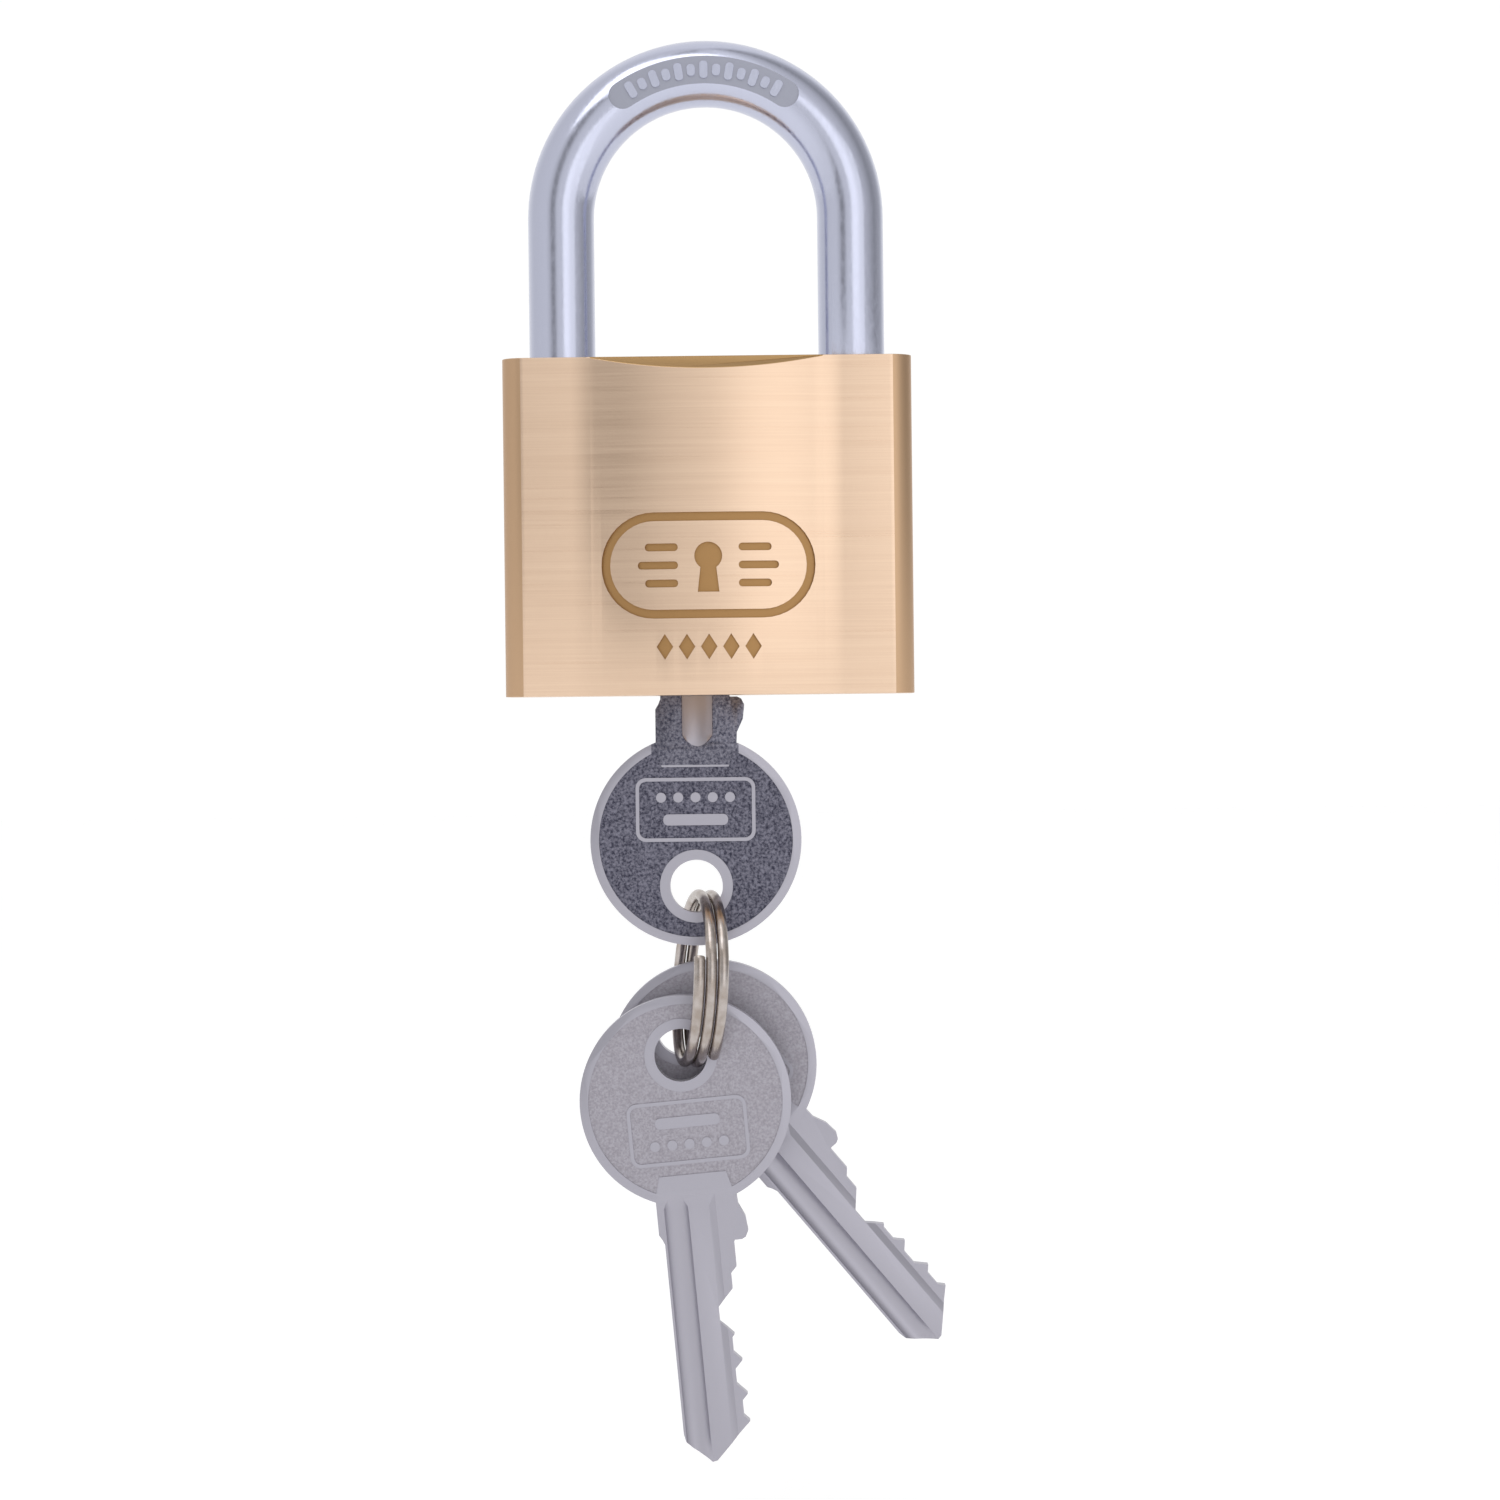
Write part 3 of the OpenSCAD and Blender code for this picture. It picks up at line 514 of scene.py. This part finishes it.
on_flat = node(tree, "ShaderNodeMath", {"operation": "GREATER_THAN"},
               {0: depth.outputs[0], 1: KEY_THICK / 2 - 0.06 * MM})
land = node(tree, "ShaderNodeMath", {"operation": "MULTIPLY"},
            {0: above_panel.outputs[0], 1: inside.outputs[0]})
neck = node(tree, "ShaderNodeMath", {"operation": "MULTIPLY"}, {0: land.outputs[0], 1: on_flat.outputs[0]})
grit = node(tree, "ShaderNodeTexNoise", {}, {"Vector": place, "Scale": 3600, "Detail": 4, "Roughness": 0.75})
tint = node(tree, "ShaderNodeMapRange", {},
            {"Value": grit.outputs["Fac"], "From Min": 0.38, "From Max": 0.62})
speckle = node(tree, "ShaderNodeMix", {"data_type": "RGBA"},
               {"Factor": tint.outputs[0], 6: linear("#444452"), 7: linear("#84838F")})
shade = node(tree, "ShaderNodeMix", {"data_type": "RGBA"},
             {"Factor": neck.outputs[0], 6: linear("#A9A7B1"), 7: speckle.outputs[2]})
tree.links.new(shade.outputs[2], shader.inputs["Base Color"])


def key_outline():
    """Bow, neck, shoulder and cut blade; the blade points up and its cuts face right."""
    left_neck = math.degrees(math.asin(3.87 * MM / BOW))
    right_neck = math.degrees(math.asin(4.1 * MM / BOW))
    points = arc((0, 0), BOW, 90 + left_neck, 450 - right_neck, 110)
    points += [(4.15 * MM, SHOULDER_T - 3.5 * MM), (4.75 * MM, SHOULDER_T - 2.2 * MM),
               (4.9 * MM, SHOULDER_T - 0.8 * MM), (4.6 * MM, SHOULDER_T - 0.2 * MM),
               (4.2 * MM, SHOULDER_T), (3.5 * MM, SHOULDER_T), (CUT_EDGE, SHOULDER_T + 0.2 * MM)]
    half = 0.24 * PITCH
    points.append((CUT_EDGE, (FIRST - half - (UNCUT_MM - CUTS[0]) / FLANK) * MM))
    for i, depth in enumerate(CUTS):
        middle = FIRST + i * PITCH
        points += [(depth * MM, (middle - half) * MM), (depth * MM, (middle + half) * MM)]
        if i < 4:
            after, before, rise = middle + half, middle + PITCH - half, CUTS[i + 1] - depth
            peak = (depth + CUTS[i + 1]) / 2 + FLANK * (before - after) / 2
            points.append((peak * MM, ((after + before) / 2 + rise / (2 * FLANK)) * MM))
    top = (FIRST + 4 * PITCH + half + 0.55 / FLANK) * MM
    points += [(3.25 * MM, top), (2.4 * MM, top + 0.8 * MM), (-0.3 * MM, TIP_T - 0.1 * MM),
               (-0.8 * MM, TIP_T), (-2.6 * MM, TIP_T - 1.5 * MM), (-3.2 * MM, TIP_T - 2.2 * MM),
               (BACK_EDGE, TIP_T - 3 * MM), (BACK_EDGE, SHOULDER_T - 0.2 * MM),
               (-3.57 * MM, SHOULDER_T - 0.7 * MM), (-3.87 * MM, SHOULDER_T - 1.2 * MM)]
    return points


def flute(name, outline, run_out):
    """A cutter along the blade from its tip, which lifts out of the metal towards the bow."""
    start = 10.4 * MM
    cutter = solid(name, outline, "Z", TIP_T + MM, start, rubbed_nickel)
    bpy.ops.object.mode_set(mode="EDIT")
    bpy.ops.mesh.select_mode(type="FACE")
    bpy.ops.mesh.select_all(action="DESELECT")
    bpy.ops.object.mode_set(mode="OBJECT")
    for face in cutter.data.polygons:
        face.select = abs(face.center.z - start) < 0.001 * MM
    bpy.ops.object.mode_set(mode="EDIT")
    bpy.ops.mesh.extrude_region_move(TRANSFORM_OT_translate={"value": (0, run_out, -1.5 * MM)})
    bpy.ops.mesh.select_all(action="SELECT")
    bpy.ops.mesh.normals_make_consistent(inside=False)
    bpy.ops.object.mode_set(mode="OBJECT")
    return cutter


FACE = KEY_THICK / 2
PANEL_T, PIPS_T, BAR_T = 3 * MM, 4.2 * MM, 2 * MM
LAND = [(-3.3 * MM, 7.2 * MM), (3.3 * MM, 7.2 * MM), (4.6 * MM, 12 * MM), (-4.6 * MM, 12 * MM)]
blank = solid("key_blank", key_outline(), "Y", -FACE, FACE, rubbed_nickel)
apply(blank, "BEVEL", width=0.16 * MM, segments=2, limit_method="ANGLE", angle_limit=math.radians(70))
for side in (-1, 1):
    floor, outside = side * (FACE - FIELD), side * (FACE + MM)
    below, above = floor - side * MM, outside + side * MM
    sunk = round_solid("sunk_field", BOW - 0.85 * MM, "Y", floor, outside, (0, 0), satin_nickel, 96)
    work(sunk, round_solid("collar", 3.6 * MM, "Y", below, above, (0, HOLE_T), satin_nickel))
    frame_outline = rounded(11.8 * MM, 6.3 * MM, MM, (0, PANEL_T))
    panel_frame = solid("panel_frame", frame_outline, "Y", below, above, satin_nickel)
    work(panel_frame, solid("panel", rounded(11.1 * MM, 5.6 * MM, 0.7 * MM, (0, PANEL_T)), "Y",
                            floor - 2 * side * MM, outside + 2 * side * MM, satin_nickel))
    work(sunk, panel_frame)
    panel_bar = rounded(6.4 * MM, 1.1 * MM, 0.5 * MM, (0, BAR_T))
    work(sunk, solid("panel_bar", panel_bar, "Y", below, above, satin_nickel))
    pips = [round_solid("pip", 0.5 * MM, "Y", below, above, (1.7 * i * MM, PIPS_T), satin_nickel, 16)
            for i in range(-2, 3)]
    work(sunk, merged("pips", *pips))
    work(sunk, solid("neck_land", LAND, "Y", below, above, satin_nickel))
    work(blank, sunk)
work(blank, round_solid("hole", 2.6 * MM, "Y", -5 * MM, 5 * MM, (0, HOLE_T), rubbed_nickel))
work(blank, flute("back_flute", arc((-1.95 * MM, FACE + 0.9 * MM), 1.5 * MM, 0, 348.75, 31), 0.7 * MM))
STEP_FLOOR = FACE - 0.45 * MM
step = [(1.3 * MM, FACE + MM), (1.3 * MM, FACE), (1.95 * MM, STEP_FLOOR),
        (7 * MM, STEP_FLOOR), (7 * MM, FACE + MM)]
work(blank, flute("step", step, 0.6 * MM))
work(blank, flute("middle_flute", arc((0.25 * MM, -FACE - 1.7 * MM), 2.3 * MM, 0, 352.5, 47), -0.7 * MM))
smooth(blank, 32)

joints = {joint["name"]: joint for joint in frame["joints"]}
upside_down = Matrix.Rotation(math.pi, 4, "X")


def hung_key(swing, tilt):
    """Where a spare's blank goes: its hole on the swing's axis, its tip down and tilted right."""
    return (Matrix.Translation(Vector(joints[swing]["pos_m"])) @ Matrix.Rotation(-math.radians(tilt), 4, "Y")
            @ upside_down @ Matrix.Translation((0, 0, -HOLE_T)))


in_keyway = Matrix.Translation((lock_low.x + BOW, 0, lock_low.z + BOW))
in_front = hung_key("front_key_swing", 5)
behind = hung_key("rear_key_swing", 40)
for name, cad_node, body, where, field, rim in (
    ("key_in_lock", "lock_key", "cylinder", in_keyway, blasted_nickel, worked_nickel),
    ("spare_key_front", "front_key", "front_spare", in_front, satin_nickel, rubbed_nickel),
    ("spare_key_rear", "rear_key", "rear_spare", behind, satin_nickel, rubbed_nickel),
):
    key = blank.copy()
    key.data = blank.data.copy()
    bpy.context.collection.objects.link(key)
    key.name = name
    key.data.transform(where)
    for index, material in enumerate(key.data.materials):
        key.data.materials[index] = field if material == satin_nickel else rim
    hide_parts(cad_node)
    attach(key, body)
bpy.data.objects.remove(blank)

# ---- Split ring -------------------------------------------------------------
# Just over two turns of 1.1 mm spring wire wound side by side, nickel plated over a
# slightly brown base and worn smooth.
WIRE = 0.55 * MM
ring_pivot = Vector(joints["ring_swing"]["pos_m"])
RING_R = 8.25 * MM
ring_centre = ring_pivot - Vector((0, 0, 0.9 * MM + RING_R))
RING_PITCH, RING_YAW, RING_ROLL = 1.17 * MM, 10, 4
START, END, STEPS = -18, 782, 200

worn_nickel, tree, shader, place = metal("worn_nickel", "#B5ADA8", 0.24)
wear = node(tree, "ShaderNodeTexNoise", {}, {"Vector": place, "Scale": 900, "Detail": 3})
tint = node(tree, "ShaderNodeMapRange", {},
            {"Value": wear.outputs["Fac"], "From Min": 0.35, "From Max": 0.65})
shade = node(tree, "ShaderNodeMix", {"data_type": "RGBA"},
             {"Factor": tint.outputs[0], 6: linear("#A2978F"), 7: linear("#B8B0AC")})
tree.links.new(shade.outputs[2], shader.inputs["Base Color"])

deselect()
bpy.ops.mesh.primitive_circle_add(vertices=20, radius=WIRE, fill_type="NOTHING", location=(0, 0, 0))
ring = bpy.context.object
ring.name = "wound_ring"
ring.data.transform(Matrix.Translation((RING_PITCH * (START / 360 - 1), 0, 0))
                    @ Matrix.Rotation(math.radians(START), 4, "X") @ Matrix.Translation((0, -RING_R, 0)))
apply(ring, "SCREW", axis="X", angle=math.radians(END - START), screw_offset=RING_PITCH * (END - START) / 360,
      steps=STEPS, render_steps=STEPS)
bpy.ops.object.mode_set(mode="EDIT")
bpy.ops.mesh.select_all(action="SELECT")
bpy.ops.mesh.fill_holes(sides=0)
bpy.ops.mesh.select_all(action="SELECT")
bpy.ops.mesh.normals_make_consistent(inside=False)
bpy.ops.object.mode_set(mode="OBJECT")
ring.data.transform(Matrix.Translation(ring_centre) @ Matrix.Rotation(math.radians(RING_YAW), 4, "Z")
                    @ Matrix.Rotation(math.radians(RING_ROLL), 4, "Y"))
ring.data.materials.append(worn_nickel)
apply(ring, "BEVEL", width=0.12 * MM, segments=2, limit_method="ANGLE", angle_limit=math.radians(60))
smooth(ring, 35)
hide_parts("split_ring")
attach(ring, "ring")

# ---- Floor, light and camera ------------------------------------------------
# A plain pale floor under the hanging lock, a white room with a grey screen to the left of
# the front and a dim right wall, a soft light from the right and a stronger one from above.
floor_paint = bpy.data.materials.new("floor_paint")
floor_paint.use_nodes = True
floor_shader = floor_paint.node_tree.nodes["Principled BSDF"]
floor_shader.inputs["Base Color"].default_value = linear("#F4F4F4")
floor_shader.inputs["Roughness"].default_value = 0.9
floor_shader.inputs["Emission Color"].default_value = linear("#FFFFFF")
floor_shader.inputs["Emission Strength"].default_value = 0.25
deselect()
bpy.ops.mesh.primitive_plane_add(size=6, location=(0, 0, cad_box[0][2] - 8 * MM))
floor = bpy.context.object
floor.name = "floor"
floor.data.materials.append(floor_paint)

world = bpy.data.worlds.new("white_room")
bpy.context.scene.world = world
world.use_nodes = True
tree = world.node_tree
sky = tree.nodes["Background"]
way = node(tree, "ShaderNodeSeparateXYZ", {}, {0: node(tree, "ShaderNodeTexCoord").outputs["Generated"]})
back = node(tree, "ShaderNodeMath", {"operation": "MULTIPLY"}, {0: way.outputs["Y"], 1: -1.0})
turn = node(tree, "ShaderNodeMath", {"operation": "ARCTAN2"}, {0: way.outputs["X"], 1: back.outputs[0]})
share = node(tree, "ShaderNodeMapRange", {},
             {"Value": turn.outputs[0], "From Min": -math.pi, "From Max": math.pi})
walls = node(tree, "ShaderNodeValToRGB", {}, {"Fac": share.outputs[0]})
# the walls' brightness, by degrees round from the front towards the right
ROOM = [(-180, 1.02), (-150, 1.02), (-110, 0.85), (-50, 0.9), (-38, 0.72), (-31, 0.38), (-22, 0.4),
        (-14, 0.85), (-4, 0.92), (4, 0.9), (12, 1.1), (22, 1.12), (34, 0.85), (58, 0.72), (92, 0.4),
        (125, 0.6), (150, 1.02), (180, 1.02)]
ROOM_STRENGTH = 1.6
ramp = walls.color_ramp
while len(ramp.elements) < len(ROOM):
    ramp.elements.new(0.5)
for stop, (angle, level) in zip(ramp.elements, ROOM):
    stop.position = (angle + 180) / 360
    grey = level / ROOM_STRENGTH
    stop.color = (grey, grey, grey, 1)
tree.links.new(walls.outputs[0], sky.inputs["Color"])
sky.inputs["Strength"].default_value = ROOM_STRENGTH

LOCK_MIDDLE = Vector((0, 0, -0.055))
for name, spot, size, power in (
    ("right_softbox", (0.20, -0.38, 0.03), 0.34, 0.15),
    ("top_softbox", (-0.12, -0.22, 0.30), 0.25, 0.35),
):
    deselect()
    bpy.ops.object.light_add(type="AREA", location=spot)
    lamp = bpy.context.object
    lamp.name = name
    lamp.data.size = size
    lamp.data.energy = power
    aim = LOCK_MIDDLE - Vector(spot)
    lamp.rotation_euler = aim.to_track_quat("-Z", "Y").to_euler()

CAMERA_AT = (4.8 * MM, -400 * MM, -60.1 * MM)
CAMERA_YAW, CAMERA_TILT, CAMERA_ROLL = 0.14, -0.48, 0.63
bpy.ops.object.camera_add()
camera = bpy.context.object
camera.name = "camera"
camera.data.lens = 97.2
camera.data.sensor_width = 36
camera.matrix_world = (Matrix.Translation(CAMERA_AT) @ Matrix.Rotation(math.radians(CAMERA_YAW), 4, "Z")
                       @ Matrix.Rotation(math.radians(CAMERA_TILT), 4, "X")
                       @ Matrix.Rotation(math.radians(CAMERA_ROLL), 4, "Y")
                       @ Matrix.Rotation(math.pi / 2, 4, "X"))
bpy.context.scene.camera = camera
bpy.context.scene.view_settings.view_transform = "Standard"
